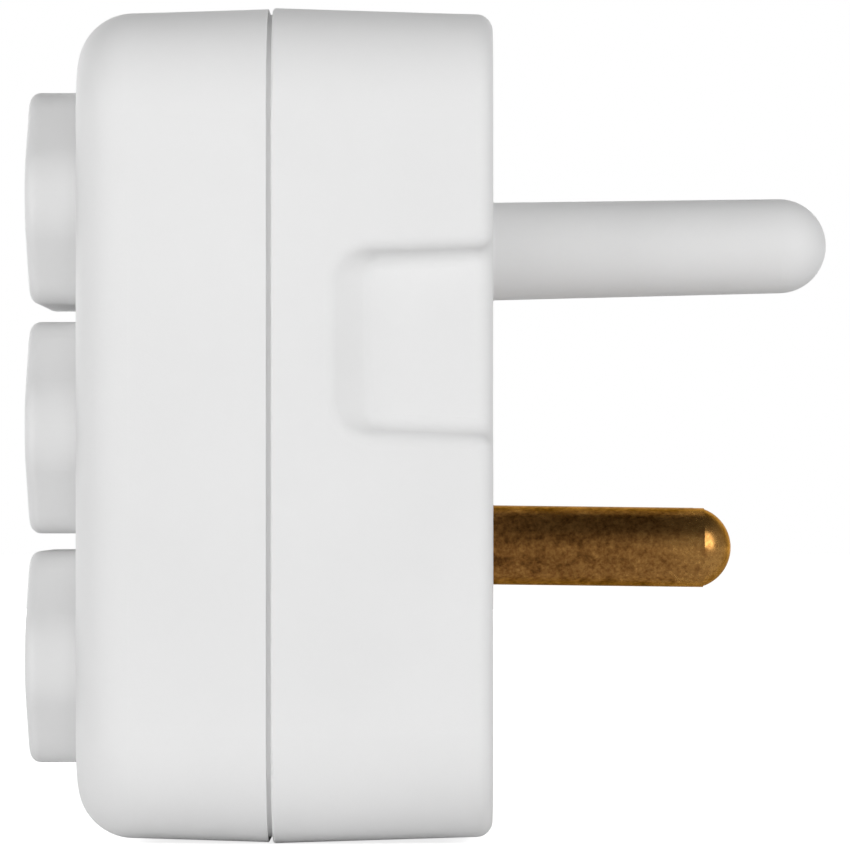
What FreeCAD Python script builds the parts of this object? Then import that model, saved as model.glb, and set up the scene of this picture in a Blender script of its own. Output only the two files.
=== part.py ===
import FreeCAD, Part
import math
import os

# Multi socket adapter with a large round-pin plug and three shuttered two-pin outlets.
# Millimetres. +X runs out along the plug's pins, Y across the width, +Z up towards the earth pin.
# The origin is the centre of the back face, which lies against the wall socket.

Vector = FreeCAD.Vector

# Housing, measured at the parting plane between the two shells
END_MARGIN = 7.05
BODY_WIDTH = 55.0
REAR_DEPTH = 20.0
FRONT_DEPTH = 17.4
CORNER_RADIUS = 10.0
DRAFT_DEG = 1.75
WALL = 2.2
BACK_WALL = 2.4
FRONT_EDGE_RADIUS = 5.0
BACK_EDGE_RADIUS = 1.5
PARTING_GAP = 0.4
PARTING_DEPTH = 0.5
PARTING_ROUND = 0.25
REAR_STEP = 0.1
LIP_THICKNESS = 1.0
LIP_HEIGHT = 1.8
LIP_CLEARANCE = 0.1

# Finger grips on both sides of the rear shell, open at the back face
GRIP_CENTRE_Z = 7.4
GRIP_FLOOR_HEIGHT = 14.7
GRIP_FLOOR_LENGTH = 11.2
GRIP_FLARE_DEG = 2.7
GRIP_DEPTH = 2.3
GRIP_SIDE_RUN = 1.0
GRIP_END_RUN = 3.0
GRIP_CORNER_RADIUS = 1.6
GRIP_MOUTH_CORNER_RADIUS = 3.2
GRIP_FLOOR_ROUND = 1.6
GRIP_EDGE_ROUND = 1.4

# Outlets, each a collar with a recess behind it
OUTLET_COUNT = 3
OUTLET_GAP = 1.6
OUTLET_CENTRE_Z = -0.1
COLLAR_LENGTH = 41.0
COLLAR_HEIGHT = 19.3
COLLAR_TIP = 4.9
COLLAR_CORNER_RADIUS = 5.3
COLLAR_RISE = 4.75
COLLAR_EDGE_ROUND = 1.0
COLLAR_MOUTH_ROUND = 0.5
COLLAR_WALL = 2.0
RECESS_DEPTH = 8.75
RECESS_FLOOR = 2.0
ENTRY_SPACING = 19.0
ENTRY_RADIUS = 2.4
ENTRY_LEAD_IN = 0.4

# Plug pins, placed where they leave the back face; both kinds lean a little away from each other
PIN_SPACING = 25.4
PIN_HEIGHT = -10.8
EARTH_TO_PINS = 27.2
PIN_LEAN_DEG = 0.7
EARTH_LEAN_DEG = 1.08
PIN_RADIUS = 3.6
PIN_REACH = 21.7
PIN_DOME_RISE = 2.5
PIN_DOME_STEP = 0.08
PIN_ROOT_RADIUS = 3.75
PIN_FLANGE_RADIUS = 5.0
PIN_BOSS_RADIUS = 6.6
PRESS_CLEARANCE = 0.05
PIN_FLANGE_THICKNESS = 1.8
PIN_SHANK_RADIUS = 3.0
PIN_SPIGOT_RADIUS = 1.6
PIN_HEAD_RADIUS = 2.6
PIN_HEAD_THICKNESS = 0.9
PIN_HEAD_ROOM = 1.0
EARTH_ROOT_RADIUS = 4.55
EARTH_TIP_RADIUS = 4.38
EARTH_ROOT_ROUND = 0.3
EARTH_REACH = 31.1
EARTH_CORE_RADIUS = 2.6
EARTH_CORE_END_RADIUS = 2.1
EARTH_CORE_REACH = 24.0

# Shutters
SHUTTER_THICKNESS = 2.5
SHUTTER_WINDOW_CLEARANCE = 0.2
SHUTTER_FOOT = 1.5
SHUTTER_END_LAND = 1.5
SHUTTER_CAM_MARGIN = 0.2
SHUTTER_CAM_LAND = 0.4
SHUTTER_CORNER_RADIUS = 0.8
SLIDE_GAP = 0.12
POCKET_SIDE_GAP = 0.15
POCKET_TOP_ROOM = 0.65
GUIDE_WALL = 2.0

# Shutter springs
SPRING_RADIUS = 0.95
SPRING_WIRE_RADIUS = 0.16
SPRING_WIRE_SIDES = 6
SPRING_TURNS = 7
SPRING_NOTCH_WIDTH = 3.0
SPRING_NOTCH_FLOOR = 4.6
SPRING_END_GAP = 0.05

# Contact carrier
CARRIER_PLATE = 1.6
CARRIER_HOLE_RADIUS = 2.6
CARRIER_RIM = 0.2
CHAMBER_DEPTH = 15.4
CHAMBER_WALL = 1.1
CHAMBER_GAP = 0.2
PEG_RADIUS = 0.6
PEG_ROOT = 0.5
PEG_END_GAP = 0.1
PEG_CLEARANCE = 0.05

# Contacts
CLIP_WIDTH = 6.0
CLIP_THICKNESS = 0.6
CLIP_LENGTH = 14.4
CLIP_BASE_HEIGHT = 7.0
CLIP_GRIP_GAP = 3.6
CLIP_MOUTH_GAP = 6.0
CLIP_MOUTH_DEPTH = 3.0
CLIP_BEND_RADIUS = 1.0
BUS_WIDTH = 10.0
BUS_THICKNESS = 0.8
BUS_END_MARGIN = 4.5
BUS_CORNER_RADIUS = 1.5
RIVET_RADIUS = 1.2
RIVET_HEAD_RADIUS = 2.1
RIVET_HEAD_THICKNESS = 0.8
RIVET_CHAMFER = 0.3
RIVET_CLEARANCE = 0.05

# Case screws and their bosses
SCREW_Y = 19.5
SCREW_END_INSET = 8.2
FRONT_BOSS_RADIUS = 3.2
REAR_BOSS_RADIUS = 4.2
SCREW_RADIUS = 1.45
SCREW_CLEARANCE_RADIUS = 1.7
SCREW_PILOT_RADIUS = 1.5
SCREW_HEAD_RADIUS = 2.8
SCREW_HEAD_HEIGHT = 2.0
SCREW_HEAD_CHAMFER = 0.6
SCREW_SINK_RADIUS = 3.0
SCREW_SINK_DEPTH = 12.0
SCREW_LENGTH = 17.0
SCREW_TIP_ROOM = 1.0
SCREW_SLOT_WIDTH = 0.8
SCREW_SLOT_LENGTH = 3.4
SCREW_SLOT_DEPTH = 1.1
POST_RADIUS = 2.0
POST_GAP = 0.6

# How far a cutting solid runs past what it cuts, and how closely an edge is picked by its place
OVERRUN = 1.0
SLACK = 0.02

# Planes along X that follow from the sizes above
PARTING_X = -REAR_DEPTH
FRONT_RIM_X = PARTING_X - PARTING_GAP / 2
REAR_RIM_X = PARTING_X + PARTING_GAP / 2
FRONT_X = PARTING_X - FRONT_DEPTH
COLLAR_X = FRONT_X - COLLAR_RISE
FLOOR_X = COLLAR_X + RECESS_DEPTH
FLOOR_BACK_X = FLOOR_X + RECESS_FLOOR
SHUTTER_X = FLOOR_BACK_X + SLIDE_GAP
CARRIER_X = SHUTTER_X + SHUTTER_THICKNESS + SLIDE_GAP
CHAMBER_X = CARRIER_X + CARRIER_PLATE
BUS_X = CHAMBER_X + CHAMBER_DEPTH
BUS_BACK_X = BUS_X + BUS_THICKNESS

# Heights and widths that follow from the sizes above
OUTLET_PITCH = COLLAR_HEIGHT + OUTLET_GAP
OUTLET_SPREAD = OUTLET_PITCH * (OUTLET_COUNT - 1) / 2
OUTLET_TOP_Z = OUTLET_CENTRE_Z + OUTLET_SPREAD
OUTLET_BOTTOM_Z = OUTLET_CENTRE_Z - OUTLET_SPREAD
BODY_HEIGHT = 2 * (OUTLET_SPREAD + COLLAR_HEIGHT / 2 + END_MARGIN)
SIDE_FALL = REAR_DEPTH * math.tan(math.radians(DRAFT_DEG))
EARTH_HEIGHT = PIN_HEIGHT + EARTH_TO_PINS
POCKET_HALF_HEIGHT = (OUTLET_PITCH - GUIDE_WALL) / 2
SHUTTER_WINDOW = 2 * (ENTRY_RADIUS + SHUTTER_WINDOW_CLEARANCE)
SHUTTER_BELOW = POCKET_HALF_HEIGHT - POCKET_SIDE_GAP
SHUTTER_TRAVEL = SHUTTER_BELOW - SHUTTER_WINDOW / 2 - SHUTTER_FOOT
SHUTTER_CAM_HEIGHT = SHUTTER_TRAVEL + SHUTTER_CAM_MARGIN
SHUTTER_ABOVE = POCKET_HALF_HEIGHT - SHUTTER_TRAVEL - POCKET_TOP_ROOM
SHUTTER_HALF_LENGTH = (ENTRY_SPACING + SHUTTER_WINDOW) / 2 + SHUTTER_END_LAND
POCKET_HALF_LENGTH = SHUTTER_HALF_LENGTH + POCKET_SIDE_GAP
GUIDE_HALF_LENGTH = POCKET_HALF_LENGTH + GUIDE_WALL
GUIDE_TOP = OUTLET_TOP_Z + POCKET_HALF_HEIGHT + GUIDE_WALL
GUIDE_BOTTOM = OUTLET_BOTTOM_Z - POCKET_HALF_HEIGHT - GUIDE_WALL
SCREW_Z = BODY_HEIGHT / 2 - SCREW_END_INSET
SIDES = {"line": -1, "neutral": 1}


def outlet_height(number):
    """Height of an outlet's centre, numbered from 1 at the top."""
    return OUTLET_TOP_Z - OUTLET_PITCH * (number - 1)


def outlets():
    return range(1, OUTLET_COUNT + 1)


def poles():
    """Every contact's pole, side and outlet."""
    return [(pole, side, number) for pole, side in SIDES.items() for number in outlets()]


def in_section(x):
    """Places (y, z) in the plane across the housing at x."""
    return lambda p: Vector(x, p[0], p[1])


def in_side(y):
    """Places (x, z) in the upright plane along the housing at y."""
    return lambda p: Vector(p[0], y, p[1])


def rounded_outline(points, radius, place):
    """Closed wire through 2D points, with every corner rounded to the radius, or to its own radius."""
    radii = radius if isinstance(radius, (list, tuple)) else [radius] * len(points)
    corners = []
    for i, corner in enumerate(points):
        before = points[i - 1]
        after = points[(i + 1) % len(points)]
        back = (before[0] - corner[0], before[1] - corner[1])
        ahead = (after[0] - corner[0], after[1] - corner[1])
        back_length = math.hypot(*back)
        ahead_length = math.hypot(*ahead)
        back = (back[0] / back_length, back[1] / back_length)
        ahead = (ahead[0] / ahead_length, ahead[1] / ahead_length)
        half = math.acos(max(-1.0, min(1.0, back[0] * ahead[0] + back[1] * ahead[1]))) / 2
        if radii[i] <= 0 or half > math.pi / 2 - 1e-6:
            corners.append((corner, None, corner))
            continue
        reach = radii[i] / math.tan(half)
        middle = (back[0] + ahead[0], back[1] + ahead[1])
        middle_length = math.hypot(*middle)
        inward = radii[i] / math.sin(half) - radii[i]
        crown = (
            corner[0] + middle[0] / middle_length * inward,
            corner[1] + middle[1] / middle_length * inward,
        )
        start = (corner[0] + back[0] * reach, corner[1] + back[1] * reach)
        end = (corner[0] + ahead[0] * reach, corner[1] + ahead[1] * reach)
        corners.append((start, crown, end))
    edges = []
    for i, (start, crown, end) in enumerate(corners):
        if crown:
            edges.append(Part.Arc(place(start), place(crown), place(end)).toShape())
        following = corners[(i + 1) % len(corners)][0]
        if math.hypot(following[0] - end[0], following[1] - end[1]) > 1e-6:
            edges.append(Part.LineSegment(place(end), place(following)).toShape())
    return Part.Wire(edges)


def prism(points, radius, x_from, x_to):
    """Solid with a rounded outline across the housing, running along X."""
    face = Part.Face(rounded_outline(points, radius, in_section(x_from)))
    return face.extrude(Vector(x_to - x_from, 0, 0))


def block(x_from, x_to, y_from, y_to, z_from, z_to):
    return Part.makeBox(
        x_to - x_from, y_to - y_from, z_to - z_from, Vector(x_from, y_from, z_from)
    )


def rod(radius, x_from, x_to, y, z):
    """Cylinder along X."""
    return Part.makeCylinder(radius, x_to - x_from, Vector(x_from, y, z), Vector(1, 0, 0))


def turned(points, y, z):
    """Solid turned about an axis along X, from (x, radius) points with the axis as its closing side.

    A point given as (x, radius, "arc") is passed by an arc from the point before to the point after.
    """
    edges = []
    place = in_side(0)
    i = 0
    while i < len(points) - 1:
        following = points[i + 1]
        if len(following) == 3:
            last = points[i + 2]
            arc = Part.Arc(place(points[i]), place(following), place(last))
            edges.append(arc.toShape())
            i += 2
        else:
            edges.append(Part.LineSegment(place(points[i]), place(following)).toShape())
            i += 1
    edges.append(Part.LineSegment(place(points[-1]), place(points[0])).toShape())
    solid = Part.Face(Part.Wire(edges)).revolve(Vector(0, 0, 0), Vector(1, 0, 0), 360)
    solid.translate(Vector(0, y, z))
    return solid


def leaning(solid, y, z, degrees):
    """Turns a solid about the line across the housing through (0, y, z); positive leans it downwards."""
    solid.rotate(Vector(0, y, z), Vector(0, 1, 0), degrees)
    return solid


def edges_on(shape, test):
    """Edges whose every sampled point passes the test."""
    found = []
    for edge in shape.Edges:
        if edge.Degenerated:
            continue
        if all(test(p) for p in edge.discretize(5)):
            found.append(edge)
    return found


def housing_section(x, side, inset):
    """Outline of the housing at x; side is +1 for the rear shell's draft and -1 for the front's."""
    shrink = inset + side * (x - PARTING_X) * math.tan(math.radians(DRAFT_DEG))
    half_width = BODY_WIDTH / 2 - shrink
    half_height = BODY_HEIGHT / 2 - shrink
    points = [
        (-half_width, -half_height),
        (half_width, -half_height),
        (half_width, half_height),
        (-half_width, half_height),
    ]
    return rounded_outline(points, CORNER_RADIUS - shrink, in_section(x))


def housing_block(x_from, x_to, side, inset):
    """Drafted block of the housing's outline, inset all round."""
    wires = [housing_section(x_from, side, inset), housing_section(x_to, side, inset)]
    return Part.makeLoft(wires, True, True)


def hexagon_points(length, height, tip, z):
    """Elongated hexagon with flat tips, its long axis across the housing."""
    half = length / 2
    shoulder = half - (height - tip) / 2
    return [
        (-half, z - tip / 2),
        (-shoulder, z - height / 2),
        (shoulder, z - height / 2),
        (half, z - tip / 2),
        (half, z + tip / 2),
        (shoulder, z + height / 2),
        (-shoulder, z + height / 2),
        (-half, z + tip / 2),
    ]


def collar(number):
    """Outer form of an outlet's collar and cup, from its front edge to the back of its floor."""
    points = hexagon_points(COLLAR_LENGTH, COLLAR_HEIGHT, COLLAR_TIP, outlet_height(number))
    solid = prism(points, COLLAR_CORNER_RADIUS, COLLAR_X, FLOOR_BACK_X)
    rim = edges_on(solid, lambda p: abs(p.x - COLLAR_X) < SLACK)
    return solid.makeFillet(COLLAR_EDGE_ROUND, rim)


def recess(number):
    """Space inside a collar that takes the plug's body."""
    tip_inset = 2 * COLLAR_WALL * math.tan(math.radians(22.5))
    points = hexagon_points(
        COLLAR_LENGTH - 2 * COLLAR_WALL,
        COLLAR_HEIGHT - 2 * COLLAR_WALL,
        COLLAR_TIP - tip_inset,
        outlet_height(number),
    )
    return prism(points, COLLAR_CORNER_RADIUS - COLLAR_WALL, COLLAR_X - OVERRUN, FLOOR_X)


def entry_hole(y, z):
    """Hole for one pin of a plug through the recess floor, with a lead-in."""
    hole = rod(ENTRY_RADIUS, FLOOR_X - OVERRUN, FLOOR_BACK_X + OVERRUN, y, z)
    lead_in = Part.makeCone(
        ENTRY_RADIUS + ENTRY_LEAD_IN,
        ENTRY_RADIUS,
        ENTRY_LEAD_IN,
        Vector(FLOOR_X, y, z),
        Vector(1, 0, 0),
    )
    return hole.fuse(lead_in)


def guide_frame():
    """Walls that guide the shutters, with a plate that closes their pockets at the front."""
    frame = block(
        FLOOR_X, CARRIER_X, -GUIDE_HALF_LENGTH, GUIDE_HALF_LENGTH, GUIDE_BOTTOM, GUIDE_TOP
    )
    for number in outlets():
        z = outlet_height(number)
        pocket = block(
            FLOOR_BACK_X,
            CARRIER_X,
            -POCKET_HALF_LENGTH,
            POCKET_HALF_LENGTH,
            z - POCKET_HALF_HEIGHT,
            z + POCKET_HALF_HEIGHT,
        )
        frame = frame.cut(pocket)
    return frame


def peg_places():
    """Where the carrier is located on the guide frame, beside the walls between its pockets."""
    y = GUIDE_HALF_LENGTH - GUIDE_WALL / 2
    heights = [outlet_height(n) - OUTLET_PITCH / 2 for n in outlets()][:-1]
    return [(side * y, z) for side in (-1, 1) for z in heights]


def screw_places():
    return [(y, z) for z in (SCREW_Z, -SCREW_Z) for y in (-SCREW_Y, SCREW_Y)]


def parting_ring(x_to, outer_inset, inner_inset):
    """Ring of the front shell's own plastic that runs on past its rim, between two insets."""
    ring = housing_block(FRONT_RIM_X, x_to, 1, outer_inset)
    return ring.cut(housing_block(FRONT_RIM_X, x_to, 1, inner_inset))


def front_shell():
    outer = housing_block(FRONT_RIM_X, FRONT_X, -1, 0)
    face_edges = edges_on(outer, lambda p: abs(p.x - FRONT_X) < SLACK)
    outer = outer.makeFillet(FRONT_EDGE_RADIUS, face_edges)
    cavity = housing_block(FRONT_RIM_X + OVERRUN, FRONT_X + WALL, -1, WALL)
    inner_edges = edges_on(cavity, lambda p: abs(p.x - FRONT_X - WALL) < SLACK)
    cavity = cavity.makeFillet(FRONT_EDGE_RADIUS - WALL, inner_edges)
    shell = outer.cut(cavity)

    land = parting_ring(REAR_RIM_X, PARTING_DEPTH, WALL - LIP_THICKNESS / 2)
    lip = parting_ring(PARTING_X + LIP_HEIGHT, WALL - LIP_THICKNESS, WALL)
    parts = [land, lip, guide_frame()]
    for number in outlets():
        parts.append(collar(number))
    filler_half = COLLAR_LENGTH / 2 - (COLLAR_HEIGHT - COLLAR_TIP) / 2
    parts.append(
        block(
            FRONT_X + WALL / 2,
            FLOOR_BACK_X,
            -filler_half,
            filler_half,
            OUTLET_BOTTOM_Z,
            OUTLET_TOP_Z,
        )
    )
    for y, z in screw_places():
        parts.append(rod(FRONT_BOSS_RADIUS, FRONT_X + WALL / 2, FRONT_RIM_X, y, z))
    for y, z in peg_places():
        parts.append(rod(PEG_RADIUS, CARRIER_X - PEG_ROOT, CHAMBER_X - PEG_END_GAP, y, z))
    shell = shell.fuse(parts)

    cuts = []
    for number in outlets():
        cuts.append(recess(number))
        for side in SIDES.values():
            cuts.append(entry_hole(side * ENTRY_SPACING / 2, outlet_height(number)))
    pilot_end = -SCREW_SINK_DEPTH - SCREW_LENGTH - SCREW_TIP_ROOM
    for y, z in screw_places():
        cuts.append(rod(SCREW_PILOT_RADIUS, pilot_end, FRONT_RIM_X + OVERRUN, y, z))
    shell = shell.cut(cuts)

    mouths = edges_on(shell, lambda p: abs(p.x - COLLAR_X) < SLACK and in_recess(p))
    return shell.makeFillet(COLLAR_MOUTH_ROUND, mouths)


def in_recess(p):
    """True on a recess's walls or inside them, whatever the depth."""
    half_length = COLLAR_LENGTH / 2 - COLLAR_WALL
    half_height = COLLAR_HEIGHT / 2 - COLLAR_WALL
    facet = COLLAR_LENGTH / 2 + COLLAR_TIP / 2 - COLLAR_WALL * math.sqrt(2)
    rise = min(abs(p.z - outlet_height(n)) for n in outlets())
    across = abs(p.y)
    return (
        rise < half_height + SLACK
        and across < half_length + SLACK
        and across + rise < facet + SLACK
    )


def grip_floor_y():
    """Distance of both grip floors from the middle plane."""
    return BODY_WIDTH / 2 + REAR_STEP - SIDE_FALL / 2 - GRIP_DEPTH


def grip_half_height(x, reach):
    """Half of a grip's height at x: reach is 0 on its floor and 1 on the housing's side."""
    flare = (x + GRIP_FLOOR_LENGTH) * math.tan(math.radians(GRIP_FLARE_DEG))
    return GRIP_FLOOR_HEIGHT / 2 + GRIP_SIDE_RUN * reach + flare


def grip_space(side):
    """Space of one finger grip: a shallow pocket that flares towards the back face and opens there."""
    floor_y = grip_floor_y()
    outside_y = BODY_WIDTH / 2 + REAR_STEP + OVERRUN
    outside_reach = (outside_y - floor_y) / GRIP_DEPTH
    wires = []
    for y, reach in ((floor_y, 0), (outside_y, outside_reach)):
        inner_x = -GRIP_FLOOR_LENGTH - GRIP_END_RUN * reach
        inner_half = grip_half_height(inner_x, reach)
        open_half = grip_half_height(OVERRUN, reach)
        points = [
            (inner_x, GRIP_CENTRE_Z - inner_half),
            (OVERRUN, GRIP_CENTRE_Z - open_half),
            (OVERRUN, GRIP_CENTRE_Z + open_half),
            (inner_x, GRIP_CENTRE_Z + inner_half),
        ]
        corner = GRIP_CORNER_RADIUS + (GRIP_MOUTH_CORNER_RADIUS - GRIP_CORNER_RADIUS) * reach
        wires.append(rounded_outline(points, [corner, 0, 0, corner], in_side(side * y)))
    space = Part.makeLoft(wires, True, True)
    floor_edges = [
        e
        for e in edges_on(space, lambda p: abs(abs(p.y) - floor_y) < SLACK)
        if min(v.X for v in e.Vertexes) < OVERRUN - SLACK
    ]
    return space.makeFillet(GRIP_FLOOR_ROUND, floor_edges)


def grip_backing(side):
    """Thickening of the rear shell's side wall behind a finger grip."""
    inner_y = grip_floor_y() - WALL
    half = grip_half_height(0, 1) + WALL
    y_from, y_to = sorted((side * inner_y, side * BODY_WIDTH / 2))
    inner_x = -GRIP_FLOOR_LENGTH - GRIP_END_RUN - WALL
    return block(inner_x, 0, y_from, y_to, GRIP_CENTRE_Z - half, GRIP_CENTRE_Z + half)


def rear_outer():
    """Outer form of the rear shell with its grips and rounded edges."""
    outer = housing_block(REAR_RIM_X, 0, 1, -REAR_STEP)
    side_line = BODY_WIDTH / 2 + REAR_STEP - SIDE_FALL - SLACK
    half = grip_half_height(0, 1) + GRIP_SIDE_RUN
    for side in (-1, 1):
        outer = outer.cut(grip_space(side))
        mouth = edges_on(
            outer,
            lambda p: side * p.y > side_line
            and p.x > REAR_RIM_X + SLACK
            and abs(p.z - GRIP_CENTRE_Z) < half,
        )
        outer = outer.makeFillet(GRIP_EDGE_ROUND, mouth)
    back = edges_on(outer, lambda p: abs(p.x) < SLACK)
    outer = outer.makeFillet(BACK_EDGE_RADIUS, back)
    rim = edges_on(outer, lambda p: abs(p.x - REAR_RIM_X) < SLACK)
    return outer.makeFillet(PARTING_ROUND, rim)


def dome(x, radius, rise):
    """Profile points of a rounded end that rises from a radius at x to the axis."""
    sphere = (rise * rise + radius * radius) / (2 * rise)
    centre = x + rise - sphere
    half_angle = math.atan2(radius, x - centre) / 2
    middle = (centre + sphere * math.cos(half_angle), sphere * math.sin(half_angle), "arc")
    return [(x, radius), middle, (x + rise, 0)]


def earth_pin():
    """Tapered dummy pin of the rear shell's own plastic, from inside its back wall."""
    shoulder = EARTH_REACH - EARTH_TIP_RADIUS
    root_x = -BACK_WALL / 2
    points = [(root_x, 0), (root_x, EARTH_ROOT_RADIUS), (0, EARTH_ROOT_RADIUS)]
    points += dome(shoulder, EARTH_TIP_RADIUS, EARTH_TIP_RADIUS)
    return leaning(turned(points, 0, EARTH_HEIGHT), 0, EARTH_HEIGHT, -EARTH_LEAN_DEG)


def earth_core():
    """Tapered hollow inside the dummy pin."""
    start_x = -BACK_WALL - OVERRUN
    core = Part.makeCone(
        EARTH_CORE_RADIUS,
        EARTH_CORE_END_RADIUS,
        EARTH_CORE_REACH - start_x,
        Vector(start_x, 0, EARTH_HEIGHT),
        Vector(1, 0, 0),
    )
    return leaning(core, 0, EARTH_HEIGHT, -EARTH_LEAN_DEG)


def post_places():
    """Where posts of the rear shell press the bus strips home, beside each rivet."""
    y = ENTRY_SPACING / 2 + RIVET_HEAD_RADIUS + POST_RADIUS + POST_GAP
    return [(side * y, outlet_height(number)) for pole, side, number in poles()]


def rear_shell():
    cavity = housing_block(REAR_RIM_X - OVERRUN, -BACK_WALL, 1, WALL)
    for side in (-1, 1):
        cavity = cavity.cut(grip_backing(side))
    rebate_inset = WALL - LIP_THICKNESS - LIP_CLEARANCE
    rebate = housing_block(REAR_RIM_X - OVERRUN, PARTING_X + LIP_HEIGHT, 1, rebate_inset)
    shell = rear_outer().cut(cavity).cut(rebate)

    parts = [earth_pin()]
    for side in SIDES.values():
        boss_x = -BACK_WALL - PIN_FLANGE_THICKNESS
        y = side * PIN_SPACING / 2
        parts.append(rod(PIN_BOSS_RADIUS, boss_x, -BACK_WALL / 2, y, PIN_HEIGHT))
    for y, z in screw_places():
        parts.append(rod(REAR_BOSS_RADIUS, FRONT_RIM_X, -BACK_WALL / 2, y, z))
    for y, z in post_places():
        parts.append(rod(POST_RADIUS, BUS_BACK_X, -BACK_WALL / 2, y, z))
    shell = shell.fuse(parts)
    root = edges_on(
        shell,
        lambda p: abs(p.x) < SLACK
        and math.hypot(p.y, p.z - EARTH_HEIGHT) < EARTH_ROOT_RADIUS + SLACK,
    )
    shell = shell.makeFillet(EARTH_ROOT_ROUND, root)

    cuts = [earth_core()]
    for side in SIDES.values():
        y = side * PIN_SPACING / 2
        root_radius = PIN_ROOT_RADIUS + PRESS_CLEARANCE
        flange_radius = PIN_FLANGE_RADIUS + PRESS_CLEARANCE
        cuts.append(rod(root_radius, -BACK_WALL - OVERRUN, OVERRUN, y, PIN_HEIGHT))
        cuts.append(rod(flange_radius, BUS_BACK_X, -BACK_WALL, y, PIN_HEIGHT))
    for y, z in screw_places():
        cuts.append(rod(SCREW_SINK_RADIUS, -SCREW_SINK_DEPTH, OVERRUN, y, z))
        cuts.append(rod(SCREW_CLEARANCE_RADIUS, FRONT_RIM_X - OVERRUN, -SCREW_SINK_DEPTH, y, z))
    return shell.cut(cuts)


def contact_carrier():
    half_length = GUIDE_HALF_LENGTH + CARRIER_RIM
    tray = block(
        CARRIER_X,
        CHAMBER_X,
        -half_length,
        half_length,
        GUIDE_BOTTOM - CARRIER_RIM,
        GUIDE_TOP + CARRIER_RIM,
    )
    inner_y = CLIP_WIDTH / 2 + CHAMBER_GAP
    inner_z = CLIP_BASE_HEIGHT / 2 + CHAMBER_GAP
    chambers = []
    cuts = []
    for pole, side, number in poles():
        y = side * ENTRY_SPACING / 2
        z = outlet_height(number)
        chambers.append(
            block(
                CHAMBER_X,
                BUS_X,
                y - inner_y - CHAMBER_WALL,
                y + inner_y + CHAMBER_WALL,
                z - inner_z - CHAMBER_WALL,
                z + inner_z + CHAMBER_WALL,
            )
        )
        cuts.append(block(CHAMBER_X, BUS_X, y - inner_y, y + inner_y, z - inner_z, z + inner_z))
        cuts.append(rod(CARRIER_HOLE_RADIUS, CARRIER_X - OVERRUN, CHAMBER_X + OVERRUN, y, z))
    wall_y = ENTRY_SPACING / 2 - inner_y - CHAMBER_WALL / 2
    wall_back_x = BUS_X - PIN_HEAD_THICKNESS - PIN_HEAD_ROOM
    for y, back_x in ((0, BUS_BACK_X), (-wall_y, wall_back_x), (wall_y, wall_back_x)):
        chambers.append(
            block(
                CHAMBER_X,
                back_x,
                y - CHAMBER_WALL / 2,
                y + CHAMBER_WALL / 2,
                OUTLET_BOTTOM_Z - inner_z,
                OUTLET_TOP_Z + inner_z,
            )
        )
    for number in outlets():
        z = outlet_height(number)
        web_y = ENTRY_SPACING / 2 - inner_y
        chambers.append(
            block(
                CHAMBER_X,
                BUS_X,
                -web_y,
                web_y,
                z - CHAMBER_WALL / 2,
                z + CHAMBER_WALL / 2,
            )
        )
    for y, z in peg_places():
        hole_radius = PEG_RADIUS + PEG_CLEARANCE
        cuts.append(rod(hole_radius, CARRIER_X - OVERRUN, CHAMBER_X + OVERRUN, y, z))
    return tray.fuse(chambers).cut(cuts)


def plug_pin(side):
    """Brass pin: leaning outer part, root in the back wall, flange, shank, and a riveted head."""
    y = side * PIN_SPACING / 2
    flange_x = -BACK_WALL - PIN_FLANGE_THICKNESS
    inner_points = [
        (BUS_X - PIN_HEAD_THICKNESS, 0),
        (BUS_X - PIN_HEAD_THICKNESS, PIN_HEAD_RADIUS),
        (BUS_X, PIN_HEAD_RADIUS),
        (BUS_X, PIN_SPIGOT_RADIUS),
        (BUS_BACK_X, PIN_SPIGOT_RADIUS),
        (BUS_BACK_X, PIN_SHANK_RADIUS),
        (flange_x, PIN_SHANK_RADIUS),
        (flange_x, PIN_FLANGE_RADIUS),
        (-BACK_WALL, PIN_FLANGE_RADIUS),
        (-BACK_WALL, PIN_ROOT_RADIUS),
        (0, PIN_ROOT_RADIUS),
        (0, 0),
    ]
    root_x = -BACK_WALL / 2
    shoulder_x = PIN_REACH - PIN_DOME_RISE
    outer_points = [(root_x, 0), (root_x, PIN_RADIUS), (shoulder_x, PIN_RADIUS)]
    outer_points += dome(shoulder_x, PIN_RADIUS - PIN_DOME_STEP, PIN_DOME_RISE)
    outer = leaning(turned(outer_points, y, PIN_HEIGHT), y, PIN_HEIGHT, PIN_LEAN_DEG)
    return turned(inner_points, y, PIN_HEIGHT).fuse(outer)


def bus(side):
    """Brass strip that joins one pin to that pole's three contacts."""
    middle_y = side * (ENTRY_SPACING + PIN_SPACING) / 4
    top_z = OUTLET_TOP_Z + BUS_END_MARGIN
    bottom_z = OUTLET_BOTTOM_Z - BUS_END_MARGIN
    points = [
        (middle_y - BUS_WIDTH / 2, bottom_z),
        (middle_y + BUS_WIDTH / 2, bottom_z),
        (middle_y + BUS_WIDTH / 2, top_z),
        (middle_y - BUS_WIDTH / 2, top_z),
    ]
    strip = prism(points, BUS_CORNER_RADIUS, BUS_X, BUS_BACK_X)
    places = [(PIN_SPIGOT_RADIUS, PIN_SPACING / 2, PIN_HEIGHT)]
    places += [(RIVET_RADIUS, ENTRY_SPACING / 2, outlet_height(n)) for n in outlets()]
    holes = []
    for radius, y, z in places:
        hole_radius = radius + RIVET_CLEARANCE
        holes.append(rod(hole_radius, BUS_X - OVERRUN, BUS_BACK_X + OVERRUN, side * y, z))
    return strip.cut(holes)


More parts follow.
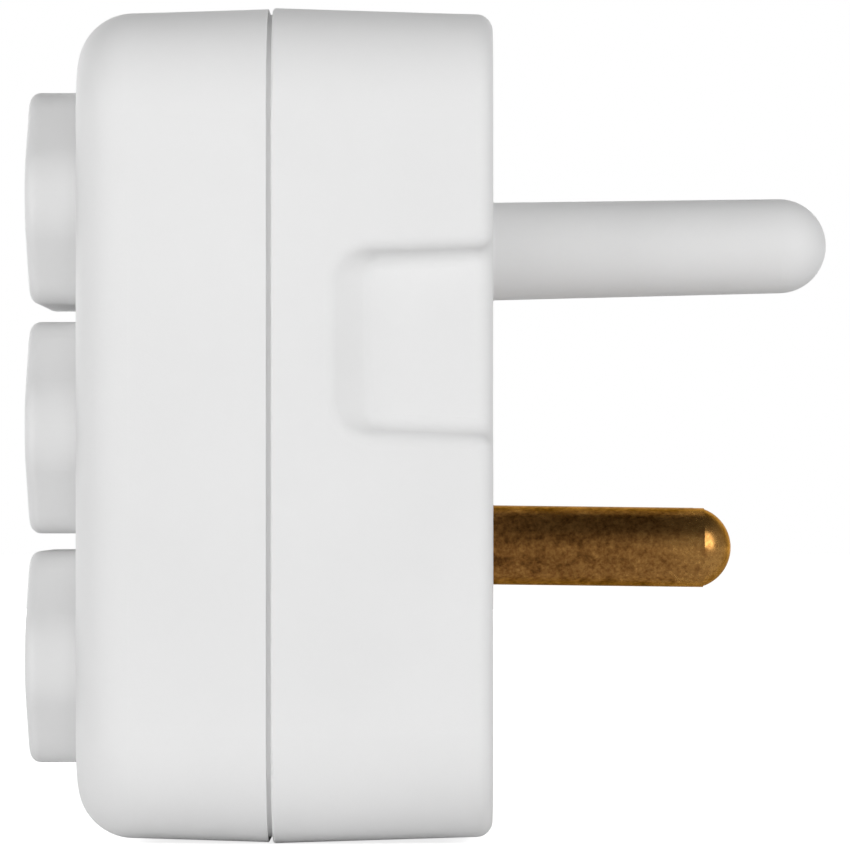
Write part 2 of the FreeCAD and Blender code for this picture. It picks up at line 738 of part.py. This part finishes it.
def bent_strip(points, thickness, bend_radius, y, width):
    """Flat strip bent along an open line of (x, z) points, with rounded bends, centred on y."""
    sides = {1: [], -1: []}
    radii = {1: [], -1: []}
    last = len(points) - 1
    for i, (x, z) in enumerate(points):
        runs = []
        if i > 0:
            runs.append((x - points[i - 1][0], z - points[i - 1][1]))
        if i < last:
            runs.append((points[i + 1][0] - x, points[i + 1][1] - z))
        runs = [(a / math.hypot(a, b), b / math.hypot(a, b)) for a, b in runs]
        first, second = runs[0], runs[-1]
        spread = 1 + first[0] * second[0] + first[1] * second[1]
        turn = first[0] * second[1] - first[1] * second[0]
        for hand in (1, -1):
            offset_x = -hand * (first[1] + second[1]) / spread * thickness / 2
            offset_z = hand * (first[0] + second[0]) / spread * thickness / 2
            sides[hand].append((x + offset_x, z + offset_z))
            inside = hand * turn > 0
            bend = bend_radius - thickness / 2 if inside else bend_radius + thickness / 2
            radii[hand].append(bend if 0 < i < last else 0)
    outline = sides[1] + sides[-1][::-1]
    corner_radii = radii[1] + radii[-1][::-1]
    face = Part.Face(rounded_outline(outline, corner_radii, in_side(y - width / 2)))
    return face.extrude(Vector(0, width, 0))


def contact_clip(side, number):
    """Folded spring contact: a web on the bus and two arms that close on the plug's pin."""
    z = outlet_height(number)
    y = side * ENTRY_SPACING / 2
    mouth_x = BUS_X - CLIP_LENGTH
    upper = [
        (mouth_x, (CLIP_MOUTH_GAP + CLIP_THICKNESS) / 2),
        (mouth_x + CLIP_MOUTH_DEPTH, (CLIP_GRIP_GAP + CLIP_THICKNESS) / 2),
        (BUS_X - CLIP_THICKNESS / 2, (CLIP_BASE_HEIGHT - CLIP_THICKNESS) / 2),
    ]
    line = [(x, z + h) for x, h in upper] + [(x, z - h) for x, h in reversed(upper)]
    clip = bent_strip(line, CLIP_THICKNESS, CLIP_BEND_RADIUS, y, CLIP_WIDTH)
    web_x = BUS_X - CLIP_THICKNESS
    hole = rod(RIVET_RADIUS + RIVET_CLEARANCE, web_x - OVERRUN, BUS_X + OVERRUN, y, z)
    return clip.cut(hole)


def rivet(side, number):
    """Rivet through a clip's web and the bus, with a chamfered head on both sides."""
    web_x = BUS_X - CLIP_THICKNESS
    front_x = web_x - RIVET_HEAD_THICKNESS
    back_x = BUS_BACK_X + RIVET_HEAD_THICKNESS
    points = [
        (front_x, 0),
        (front_x, RIVET_HEAD_RADIUS - RIVET_CHAMFER),
        (front_x + RIVET_CHAMFER, RIVET_HEAD_RADIUS),
        (web_x, RIVET_HEAD_RADIUS),
        (web_x, RIVET_RADIUS),
        (BUS_BACK_X, RIVET_RADIUS),
        (BUS_BACK_X, RIVET_HEAD_RADIUS),
        (back_x - RIVET_CHAMFER, RIVET_HEAD_RADIUS),
        (back_x, RIVET_HEAD_RADIUS - RIVET_CHAMFER),
        (back_x, 0),
    ]
    return turned(points, side * ENTRY_SPACING / 2, outlet_height(number))


def shutter(number):
    """Slider with two windows; a cam above each window lifts it when both pins push on it."""
    z = outlet_height(number)
    outline = [
        (-SHUTTER_HALF_LENGTH, z - SHUTTER_BELOW),
        (SHUTTER_HALF_LENGTH, z - SHUTTER_BELOW),
        (SHUTTER_HALF_LENGTH, z + SHUTTER_ABOVE),
        (-SHUTTER_HALF_LENGTH, z + SHUTTER_ABOVE),
    ]
    back_x = SHUTTER_X + SHUTTER_THICKNESS
    plate = prism(outline, SHUTTER_CORNER_RADIUS, SHUTTER_X, back_x)
    window_top = z + SHUTTER_WINDOW / 2 - SHUTTER_TRAVEL
    cam = [
        (SHUTTER_X - OVERRUN, window_top - SHUTTER_WINDOW),
        (back_x + OVERRUN, window_top - SHUTTER_WINDOW),
        (back_x + OVERRUN, window_top),
        (back_x - SHUTTER_CAM_LAND, window_top),
        (SHUTTER_X, window_top + SHUTTER_CAM_HEIGHT),
        (SHUTTER_X - OVERRUN, window_top + SHUTTER_CAM_HEIGHT),
    ]
    cuts = []
    for side in SIDES.values():
        y = side * ENTRY_SPACING / 2 - SHUTTER_WINDOW / 2
        face = Part.Face(rounded_outline(cam, 0, in_side(y)))
        cuts.append(face.extrude(Vector(0, SHUTTER_WINDOW, 0)))
    cuts.append(
        block(
            SHUTTER_X - OVERRUN,
            back_x + OVERRUN,
            -SPRING_NOTCH_WIDTH / 2,
            SPRING_NOTCH_WIDTH / 2,
            z - SPRING_NOTCH_FLOOR,
            z + SHUTTER_ABOVE + OVERRUN,
        )
    )
    return plate.cut(cuts)


def shutter_spring(number):
    """Compression spring between the notch floor of a shutter and the top of its pocket.

    Its wire has a many-sided section, which stays light however many turns there are.
    """
    inset = SPRING_WIRE_RADIUS + SPRING_END_GAP
    length = SPRING_NOTCH_FLOOR + POCKET_HALF_HEIGHT - 2 * inset
    pitch = length / SPRING_TURNS
    helix = Part.makeHelix(pitch, length, SPRING_RADIUS)
    outward = Vector(1, 0, 0)
    along = Vector(0, 2 * math.pi * SPRING_RADIUS, pitch).normalize()
    across = along.cross(outward)
    corners = []
    for corner in range(SPRING_WIRE_SIDES + 1):
        angle = 2 * math.pi * corner / SPRING_WIRE_SIDES
        offset = outward * math.cos(angle) + across * math.sin(angle)
        corners.append(outward * SPRING_RADIUS + offset * SPRING_WIRE_RADIUS)
    section = Part.makePolygon(corners)
    spring = Part.Wire(helix.Edges).makePipeShell([section], True, True)
    x = SHUTTER_X + SHUTTER_THICKNESS / 2
    spring.translate(Vector(x, 0, outlet_height(number) - SPRING_NOTCH_FLOOR + inset))
    return spring


def case_screw(y, z):
    """Pan-head screw from the back, with a cross recess."""
    seat_x = -SCREW_SINK_DEPTH
    head_x = seat_x + SCREW_HEAD_HEIGHT
    points = [
        (seat_x - SCREW_LENGTH, 0),
        (seat_x - SCREW_LENGTH + SCREW_RADIUS, SCREW_RADIUS),
        (seat_x, SCREW_RADIUS),
        (seat_x, SCREW_HEAD_RADIUS),
        (head_x - SCREW_HEAD_CHAMFER, SCREW_HEAD_RADIUS),
        (head_x, SCREW_HEAD_RADIUS - SCREW_HEAD_CHAMFER),
        (head_x, 0),
    ]
    screw = turned(points, y, z)
    half_slot = SCREW_SLOT_LENGTH / 2
    half_width = SCREW_SLOT_WIDTH / 2
    floor_x = head_x - SCREW_SLOT_DEPTH
    top_x = head_x + OVERRUN
    tall = block(floor_x, top_x, y - half_width, y + half_width, z - half_slot, z + half_slot)
    wide = block(floor_x, top_x, y - half_slot, y + half_slot, z - half_width, z + half_width)
    return screw.cut([tall, wide])


def pieces():
    """Every piece by its name."""
    found = {
        "front_shell": front_shell(),
        "rear_shell": rear_shell(),
        "contact_carrier": contact_carrier(),
    }
    for pole, side in SIDES.items():
        found[pole + "_pin"] = plug_pin(side)
        found[pole + "_bus"] = bus(side)
    for pole, side, number in poles():
        found[f"{pole}_clip_{number}"] = contact_clip(side, number)
        found[f"{pole}_rivet_{number}"] = rivet(side, number)
    for number in outlets():
        found[f"shutter_{number}"] = shutter(number)
        found[f"shutter_spring_{number}"] = shutter_spring(number)
    for number, (y, z) in enumerate(screw_places(), start=1):
        found[f"case_screw_{number}"] = case_screw(y, z)
    return found


os.makedirs("parts", exist_ok=True)
for name, shape in pieces().items():
    solids = shape.Solids
    solid = solids[0] if len(solids) == 1 else shape
    print(name, "solids", len(solids), "valid", solid.isValid(), "mm3", round(solid.Volume, 1))
    solid.exportStep(f"parts/{name}.step")
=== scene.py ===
import math
import bpy
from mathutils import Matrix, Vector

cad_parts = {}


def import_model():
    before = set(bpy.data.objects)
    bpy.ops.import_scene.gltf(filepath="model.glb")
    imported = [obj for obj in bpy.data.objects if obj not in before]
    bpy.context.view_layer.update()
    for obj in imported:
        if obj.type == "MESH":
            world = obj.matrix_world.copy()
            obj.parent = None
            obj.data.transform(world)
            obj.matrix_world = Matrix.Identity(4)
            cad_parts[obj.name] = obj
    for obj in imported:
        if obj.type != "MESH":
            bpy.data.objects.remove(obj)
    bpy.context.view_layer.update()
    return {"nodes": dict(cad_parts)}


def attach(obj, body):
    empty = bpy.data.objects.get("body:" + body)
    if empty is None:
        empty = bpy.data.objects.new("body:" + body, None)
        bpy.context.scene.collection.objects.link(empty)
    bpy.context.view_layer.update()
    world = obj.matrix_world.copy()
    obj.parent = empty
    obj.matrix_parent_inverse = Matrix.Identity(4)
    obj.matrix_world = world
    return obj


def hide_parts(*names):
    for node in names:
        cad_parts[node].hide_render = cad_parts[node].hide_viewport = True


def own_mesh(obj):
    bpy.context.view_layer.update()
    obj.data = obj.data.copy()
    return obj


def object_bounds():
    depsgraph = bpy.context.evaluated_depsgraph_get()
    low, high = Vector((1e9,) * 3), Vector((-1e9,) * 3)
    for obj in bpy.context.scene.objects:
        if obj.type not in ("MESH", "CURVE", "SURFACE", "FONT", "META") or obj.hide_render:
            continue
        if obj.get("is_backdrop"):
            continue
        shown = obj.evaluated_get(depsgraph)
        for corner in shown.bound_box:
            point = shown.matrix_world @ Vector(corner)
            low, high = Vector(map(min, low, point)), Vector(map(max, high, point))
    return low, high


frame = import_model()

# Multi socket adapter: white satin housing, tarnished brass pins, and the metal inside.
# Metres. +X runs out along the plug's pins, Y across the width, +Z up. The camera looks along +Y.

# Camera, from the photograph's perspective. It looks level, and its axis meets the image at this pixel.
IMAGE_SIZE = 850
AXIS_PIXEL_X = 450.0
AXIS_PIXEL_Y = 500.0
FOCAL_PIXELS = 6450.0
SENSOR_WIDTH = 36.0
CAMERA_DISTANCE = 0.600
CAMERA_X = -0.00386
CAMERA_Z = -0.0067
CLIP_NEAR = CAMERA_DISTANCE / 20
CLIP_FAR = CAMERA_DISTANCE * 50

# World light, by how far a direction points up: even to the sides, weaker overhead
WORLD_LEVEL = 0.475
WORLD_TOP_LEVEL = 0.20
WORLD_TOP_FROM = 0.15
WORLD_TOP_FULL = 0.80

# The room that metal mirrors, by how far a direction points up
ROOM_LEVEL = 0.34
CEILING_LEVEL = 0.08
CEILING_FROM = 0.30
CEILING_FULL = 0.75

# White backdrop, by how far a direction points to behind the object
BACKDROP_LEVEL = 1.0
BACKDROP_FROM = 0.62
BACKDROP_FULL = 0.85

# Softboxes by name: watts, (width, height) and place. Three are on the camera's side, two behind.
SOFTBOXES = {
    "left_softbox": (6.4, (0.90, 0.60), (-0.92, -0.77, 0.07)),
    "right_softbox": (7.2, (0.62, 1.25), (0.97, -0.71, 0.13)),
    "front_softbox": (5.7, (1.20, 0.60), (0.0, -1.30, 0.08)),
    "back_left_softbox": (6.0, (0.60, 0.60), (-0.80, 0.90, 0.10)),
    "back_right_softbox": (6.0, (0.60, 0.60), (0.12, 1.20, 0.10)),
}
MIRRORED_SOFTBOXES = ("left_softbox", "right_softbox")

# Floor. Behind the object, from one Y to the other, metal starts to mirror it as white.
FLOOR_SIZE = 6.0
FLOOR_DROP = 0.00002
FLOOR_ALBEDO = 0.95
FLOOR_GLOW = 0.80
FLOOR_BACK_FROM = 0.05
FLOOR_BACK_FULL = 0.60

# The shutters, numbered from the top
SHUTTER_NUMBERS = (1, 2, 3)
SHUTTERS = tuple(f"shutter_{number}" for number in SHUTTER_NUMBERS)

# Plastics by name: nodes, pale colour, dull colour and roughness
PLASTICS = {
    "housing_plastic": (("front_shell", "rear_shell"), (0.83, 0.83, 0.83), (0.805, 0.805, 0.805), 0.46),
    "carrier_plastic": (("contact_carrier",), (0.62, 0.60, 0.54), (0.55, 0.53, 0.47), 0.45),
    "shutter_plastic": (SHUTTERS, (0.74, 0.74, 0.73), (0.68, 0.68, 0.67), 0.40),
}
PLASTIC_CLOUD_SCALE = 55.0
PLASTIC_GRAIN_SCALE = 4200.0
PLASTIC_GRAIN_DEPTH = 0.000006
PLASTIC_SHEEN_SCALE = 160.0
PLASTIC_ROUGHNESS_SPREAD = 0.04
PLASTIC_NOISE_LOW = 0.30
PLASTIC_NOISE_HIGH = 0.70
PLASTIC_IOR = 1.45
PLASTIC_SPECULAR_LEVEL = 0.22

# Brass of the plug's pins. Its wear-and-highlight value adds up three noises, a shift from darker at the
# root to brighter at the tip, and a painted highlight near the tip, and sets its colour.
BRASS_PINS = ("line_pin", "neutral_pin")
BRASS_GRAIN_SCALE = 2600.0
BRASS_GRAIN_SHARE = 0.40
BRASS_MOTTLE_SCALE = 700.0
BRASS_MOTTLE_SHARE = 0.40
BRASS_SCRATCH_STRETCH = (160.0, 700.0, 700.0)
BRASS_SCRATCH_SHARE = 0.20
BRASS_BY_WEAR_AND_HIGHLIGHT = [
    (0.36, (0.120, 0.048, 0.011)),
    (0.46, (0.265, 0.118, 0.030)),
    (0.54, (0.400, 0.190, 0.052)),
    (0.66, (0.600, 0.315, 0.090)),
]
BRASS_EDGE_TINT = (0.80, 0.60, 0.36, 1.0)
BRASS_DULL_ROUGHNESS = 0.36
BRASS_BRIGHT_ROUGHNESS = 0.26
BRASS_GRAIN_DEPTH = 0.000006

# Stretches of the brass pins along X: over the first the brass goes from darker at the root to brighter at
# the tip, over the second a painted highlight makes the tip brighter; and what each adds to the
# wear-and-highlight value
# Darker at the root, brighter towards the tip
TIPWARD_FROM = 0.0
TIPWARD_FULL = 0.0195
TIPWARD_AT_ROOT = -0.03
TIPWARD_AT_TIP = 0.025
# Painted highlight: brighter, paler brass near the tip
HIGHLIGHT_FROM = 0.0145
HIGHLIGHT_FULL = 0.0190
HIGHLIGHT_AT_TIP = 0.08

# Other metals by name: how their nodes' names start, bright colour, dark colour and roughness
METALS = {
    "strip_brass": (("line_bus", "neutral_bus"), (0.80, 0.58, 0.27), (0.60, 0.40, 0.17), 0.30),
    "clip_bronze": (("line_clip_", "neutral_clip_"), (0.78, 0.50, 0.30), (0.58, 0.34, 0.19), 0.28),
    "rivet_brass": (("line_rivet_", "neutral_rivet_"), (0.76, 0.60, 0.33), (0.58, 0.43, 0.20), 0.34),
    "spring_steel": (("shutter_spring_",), (0.62, 0.61, 0.60), (0.42, 0.41, 0.40), 0.26),
    "screw_steel": (("case_screw_",), (0.66, 0.66, 0.64), (0.48, 0.47, 0.45), 0.30),
}
METAL_STREAK_STRETCH = (600.0, 600.0, 60.0)
METAL_STREAK_SCALE = 1.4
METAL_STREAK_SHARE = 0.5
METAL_STREAK_DEPTH = 0.000004
METAL_STAIN_SCALE = 240.0
METAL_STAIN_SHARE = 0.5
METAL_DARK_AT = 0.38
METAL_BRIGHT_AT = 0.62
METAL_ROUGHEST_AT = 0.35
METAL_SMOOTHEST_AT = 0.65
METAL_ROUGHER_BY = 0.08
METAL_SMOOTHER_BY = 0.05


def empty_tree(owner):
    """Node tree of a material or a world, with no nodes in it."""
    owner.use_nodes = True
    owner.node_tree.nodes.clear()
    return owner.node_tree


def material(name):
    """New node material; returns it with its tree and its shader."""
    made = bpy.data.materials.new(name)
    tree = empty_tree(made)
    output = tree.nodes.new("ShaderNodeOutputMaterial")
    shader = tree.nodes.new("ShaderNodeBsdfPrincipled")
    tree.links.new(shader.outputs["BSDF"], output.inputs["Surface"])
    return made, tree, shader


def object_coordinates(tree, stretch=(1, 1, 1)):
    """Object coordinates in metres, scaled along each axis."""
    source = tree.nodes.new("ShaderNodeTexCoord")
    mapping = tree.nodes.new("ShaderNodeMapping")
    mapping.inputs["Scale"].default_value = stretch
    tree.links.new(source.outputs["Object"], mapping.inputs["Vector"])
    return mapping.outputs["Vector"]


def noise(tree, vector, scale, detail, roughness=0.55, distortion=0.0):
    """Value of a noise texture, mostly between 0.3 and 0.7."""
    node = tree.nodes.new("ShaderNodeTexNoise")
    node.inputs["Scale"].default_value = scale
    node.inputs["Detail"].default_value = detail
    node.inputs["Roughness"].default_value = roughness
    node.inputs["Distortion"].default_value = distortion
    tree.links.new(vector, node.inputs["Vector"])
    return node.outputs["Fac"]


def ramp(tree, value, stops):
    """Colour ramp through (position, colour) stops."""
    node = tree.nodes.new("ShaderNodeValToRGB")
    elements = node.color_ramp.elements
    while len(elements) < len(stops):
        elements.new(0.5)
    for element, (position, colour) in zip(elements, stops):
        element.position = position
        element.color = (*colour, 1.0)
    tree.links.new(value, node.inputs["Fac"])
    return node.outputs["Color"]


def spread(tree, value, low, high, to_low, to_high):
    """Value moved from one range to another, and kept inside it."""
    node = tree.nodes.new("ShaderNodeMapRange")
    node.inputs["From Min"].default_value = low
    node.inputs["From Max"].default_value = high
    node.inputs["To Min"].default_value = to_low
    node.inputs["To Max"].default_value = to_high
    tree.links.new(value, node.inputs["Value"])
    return node.outputs["Result"]


def combine(tree, operation, first, second):
    """Result of a math node on two numbers or outputs."""
    node = tree.nodes.new("ShaderNodeMath")
    node.operation = operation
    for socket, value in zip(node.inputs, (first, second)):
        if isinstance(value, (int, float)):
            socket.default_value = value
        else:
            tree.links.new(value, socket)
    return node.outputs["Value"]


def between(tree, factor, first, second):
    """First value where the factor is 0, second where it is 1."""
    kept = combine(tree, "MULTIPLY", combine(tree, "SUBTRACT", 1.0, factor), first)
    return combine(tree, "ADD", kept, combine(tree, "MULTIPLY", factor, second))


def weighted_sum(tree, layers):
    """Sum of (value, share) layers."""
    shares = [combine(tree, "MULTIPLY", value, share) for value, share in layers]
    total = shares[0]
    for share in shares[1:]:
        total = combine(tree, "ADD", total, share)
    return total


def bump(tree, shader, height, depth):
    """Raises a shader's surface by a height from 0 to 1, times the depth in metres."""
    node = tree.nodes.new("ShaderNodeBump")
    node.inputs["Strength"].default_value = 1.0
    node.inputs["Distance"].default_value = depth
    tree.links.new(height, node.inputs["Height"])
    tree.links.new(node.outputs["Normal"], shader.inputs["Normal"])


def satin_plastic(name, pale, dull, roughness):
    """Moulded plastic: faint cloudiness, a fine spark-eroded grain and slightly uneven gloss."""
    made, tree, shader = material(name)
    place = object_coordinates(tree)
    cloud = noise(tree, place, PLASTIC_CLOUD_SCALE, detail=4.0)
    colour = ramp(tree, cloud, [(PLASTIC_NOISE_LOW, dull), (PLASTIC_NOISE_HIGH, pale)])
    tree.links.new(colour, shader.inputs["Base Color"])
    grain = noise(tree, place, PLASTIC_GRAIN_SCALE, detail=2.0)
    sheen = noise(tree, place, PLASTIC_SHEEN_SCALE, detail=3.0)
    smoothest = roughness - PLASTIC_ROUGHNESS_SPREAD
    roughest = roughness + PLASTIC_ROUGHNESS_SPREAD
    gloss = spread(tree, sheen, PLASTIC_NOISE_LOW, PLASTIC_NOISE_HIGH, smoothest, roughest)
    tree.links.new(gloss, shader.inputs["Roughness"])
    shader.inputs["IOR"].default_value = PLASTIC_IOR
    shader.inputs["Specular IOR Level"].default_value = PLASTIC_SPECULAR_LEVEL
    bump(tree, shader, grain, PLASTIC_GRAIN_DEPTH)
    return made


def tarnished_brass(name):
    """Old brass: brown tarnish in fine mottles, darker at the root and brighter towards the tip, with a
    painted highlight near the tip.
    """
    made, tree, shader = material(name)
    place = object_coordinates(tree)
    along = object_coordinates(tree, BRASS_SCRATCH_STRETCH)
    grains = noise(tree, place, BRASS_GRAIN_SCALE, detail=3.0, roughness=0.60)
    mottle = noise(tree, place, BRASS_MOTTLE_SCALE, detail=5.0, roughness=0.62, distortion=0.6)
    scratches = noise(tree, along, 1.0, detail=4.0, roughness=0.60)
    parts = tree.nodes.new("ShaderNodeSeparateXYZ")
    tree.links.new(place, parts.inputs["Vector"])
    x = parts.outputs["X"]
    # Darker at the root, brighter towards the tip
    tipward = spread(tree, x, TIPWARD_FROM, TIPWARD_FULL, TIPWARD_AT_ROOT, TIPWARD_AT_TIP)
    # Painted highlight: brighter brass near the tip
    tip_highlight = spread(tree, x, HIGHLIGHT_FROM, HIGHLIGHT_FULL, 0.0, HIGHLIGHT_AT_TIP)
    layers = [
        (grains, BRASS_GRAIN_SHARE),
        (mottle, BRASS_MOTTLE_SHARE),
        (scratches, BRASS_SCRATCH_SHARE),
        (tipward, 1.0),
        (tip_highlight, 1.0),
    ]
    # Tarnish noises, the root-to-tip shift and the painted highlight near the tip, summed
    wear_and_highlight = weighted_sum(tree, layers)
    tree.links.new(ramp(tree, wear_and_highlight, BRASS_BY_WEAR_AND_HIGHLIGHT), shader.inputs["Base Color"])
    shader.inputs["Metallic"].default_value = 1.0
    shader.inputs["Specular Tint"].default_value = BRASS_EDGE_TINT
    least_worn = BRASS_BY_WEAR_AND_HIGHLIGHT[0][0]
    most_worn = BRASS_BY_WEAR_AND_HIGHLIGHT[-1][0]
    gloss = spread(tree, wear_and_highlight, least_worn, most_worn, BRASS_DULL_ROUGHNESS, BRASS_BRIGHT_ROUGHNESS)
    tree.links.new(gloss, shader.inputs["Roughness"])
    bump(tree, shader, combine(tree, "ADD", grains, mottle), BRASS_GRAIN_DEPTH)
    return made


def rolled_metal(name, bright, dark, roughness):
    """Rolled or drawn metal with faint streaks and stains."""
    made, tree, shader = material(name)
    place = object_coordinates(tree)
    along = object_coordinates(tree, METAL_STREAK_STRETCH)
    streaks = noise(tree, along, METAL_STREAK_SCALE, detail=4.0)
    stains = noise(tree, place, METAL_STAIN_SCALE, detail=4.0)
    mixed = weighted_sum(tree, [(streaks, METAL_STREAK_SHARE), (stains, METAL_STAIN_SHARE)])
    colour = ramp(tree, mixed, [(METAL_DARK_AT, dark), (METAL_BRIGHT_AT, bright)])
    tree.links.new(colour, shader.inputs["Base Color"])
    shader.inputs["Metallic"].default_value = 1.0
    roughest = roughness + METAL_ROUGHER_BY
    smoothest = roughness - METAL_SMOOTHER_BY
    gloss = spread(tree, mixed, METAL_ROUGHEST_AT, METAL_SMOOTHEST_AT, roughest, smoothest)
    tree.links.new(gloss, shader.inputs["Roughness"])
    bump(tree, shader, streaks, METAL_STREAK_DEPTH)
    return made


def dress(nodes, finish):
    """Gives CAD nodes a finish in every material slot."""
    for name in nodes:
        for slot in frame["nodes"][name].material_slots:
            slot.material = finish


def named(starts):
    """Nodes whose names start in one of these ways."""
    return [name for name in frame["nodes"] if name.startswith(starts)]


def dress_everything():
    """Gives every node its finish."""
    for name, (nodes, pale, dull, roughness) in PLASTICS.items():
        dress(nodes, satin_plastic(name, pale, dull, roughness))
    dress(BRASS_PINS, tarnished_brass("pin_brass"))
    for name, (starts, bright, dark, roughness) in METALS.items():
        dress(named(starts), rolled_metal(name, bright, dark, roughness))


def shortening_springs():
    """Copies of the dressed springs, each with a mesh of its own, attached to the housing in place of the
    hidden CAD springs.
    """
    for number in SHUTTER_NUMBERS:
        node = frame["nodes"][f"shutter_spring_{number}"]
        spring = bpy.data.objects.new(f"shortening_spring_{number}", node.data.copy())
        bpy.context.scene.collection.objects.link(spring)
        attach(spring, "housing")
        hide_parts(node.name)
        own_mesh(spring)


def shows_background(tree, behind):
    """1 for rays that show the background: from the camera, or off metal and through glass to behind."""
    path = tree.nodes.new("ShaderNodeLightPath")
    mirrored = combine(tree, "MAXIMUM", path.outputs["Is Glossy Ray"], path.outputs["Is Transmission Ray"])
    mirrored_behind = combine(tree, "MULTIPLY", mirrored, behind)
    return combine(tree, "MAXIMUM", path.outputs["Is Camera Ray"], mirrored_behind)


def floor_paper():
    """White paper: it glows where it shows as background, and still takes the object's shadow."""
    made = bpy.data.materials.new("floor_paper")
    tree = empty_tree(made)
    output = tree.nodes.new("ShaderNodeOutputMaterial")
    paper = tree.nodes.new("ShaderNodeBsdfDiffuse")
    paper.inputs["Color"].default_value = (FLOOR_ALBEDO, FLOOR_ALBEDO, FLOOR_ALBEDO, 1.0)
    glow = tree.nodes.new("ShaderNodeEmission")
    parts = tree.nodes.new("ShaderNodeSeparateXYZ")
    tree.links.new(object_coordinates(tree), parts.inputs["Vector"])
    behind = spread(tree, parts.outputs["Y"], FLOOR_BACK_FROM, FLOOR_BACK_FULL, 0.0, 1.0)
    strength = combine(tree, "MULTIPLY", shows_background(tree, behind), FLOOR_GLOW)
    tree.links.new(strength, glow.inputs["Strength"])
    both = tree.nodes.new("ShaderNodeAddShader")
    tree.links.new(paper.outputs["BSDF"], both.inputs[0])
    tree.links.new(glow.outputs["Emission"], both.inputs[1])
    tree.links.new(both.outputs["Shader"], output.inputs["Surface"])
    return made


def floor():
    """Pale floor just under the housing."""
    half = FLOOR_SIZE / 2
    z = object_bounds()[0].z - FLOOR_DROP
    corners = [(-half, -half, z), (half, -half, z), (half, half, z), (-half, half, z)]
    mesh = bpy.data.meshes.new("floor")
    mesh.from_pydata(corners, [], [(0, 1, 2, 3)])
    mesh.materials.append(floor_paper())
    plane = bpy.data.objects.new("floor", mesh)
    bpy.context.scene.collection.objects.link(plane)
    plane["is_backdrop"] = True


def world():
    """Even studio light with a white backdrop behind the object and a darker room round the camera."""
    made = bpy.data.worlds.new("studio")
    bpy.context.scene.world = made
    tree = empty_tree(made)
    output = tree.nodes.new("ShaderNodeOutputWorld")
    background = tree.nodes.new("ShaderNodeBackground")
    background.inputs["Color"].default_value = (1.0, 1.0, 1.0, 1.0)
    direction = tree.nodes.new("ShaderNodeTexCoord")
    parts = tree.nodes.new("ShaderNodeSeparateXYZ")
    tree.links.new(direction.outputs["Generated"], parts.inputs["Vector"])
    up = parts.outputs["Z"]
    behind = spread(tree, parts.outputs["Y"], BACKDROP_FROM, BACKDROP_FULL, 0.0, 1.0)
    room = spread(tree, up, CEILING_FROM, CEILING_FULL, ROOM_LEVEL, CEILING_LEVEL)
    studio = spread(tree, up, WORLD_TOP_FROM, WORLD_TOP_FULL, WORLD_LEVEL, WORLD_TOP_LEVEL)
    path = tree.nodes.new("ShaderNodeLightPath")
    plain = between(tree, path.outputs["Is Glossy Ray"], studio, room)
    level = between(tree, shows_background(tree, behind), plain, BACKDROP_LEVEL)
    tree.links.new(level, background.inputs["Strength"])
    tree.links.new(background.outputs["Background"], output.inputs["Surface"])


def softboxes():
    """Area lights that face the object; metal mirrors only the two at its sides."""
    for name, (watts, size, place) in SOFTBOXES.items():
        data = bpy.data.lights.new(name, "AREA")
        data.shape = "RECTANGLE"
        data.size, data.size_y = size
        data.energy = watts
        lamp = bpy.data.objects.new(name, data)
        bpy.context.scene.collection.objects.link(lamp)
        lamp.location = place
        lamp.rotation_mode = "QUATERNION"
        lamp.rotation_quaternion = (-Vector(place)).to_track_quat("-Z", "Y")
        lamp.visible_glossy = name in MIRRORED_SOFTBOXES


def camera():
    """Level camera beside the object, with the photograph's frame."""
    data = bpy.data.cameras.new("camera")
    data.sensor_width = SENSOR_WIDTH
    data.lens = FOCAL_PIXELS * SENSOR_WIDTH / IMAGE_SIZE
    data.shift_x = (IMAGE_SIZE / 2 - AXIS_PIXEL_X) / IMAGE_SIZE
    data.shift_y = (AXIS_PIXEL_Y - IMAGE_SIZE / 2) / IMAGE_SIZE
    data.clip_start = CLIP_NEAR
    data.clip_end = CLIP_FAR
    eye = bpy.data.objects.new("camera", data)
    bpy.context.scene.collection.objects.link(eye)
    eye.location = (CAMERA_X, -CAMERA_DISTANCE, CAMERA_Z)
    eye.rotation_euler = (math.pi / 2, 0, 0)
    bpy.context.scene.camera = eye


dress_everything()
shortening_springs()
floor()
world()
softboxes()
camera()
bpy.context.scene.view_settings.view_transform = "Standard"
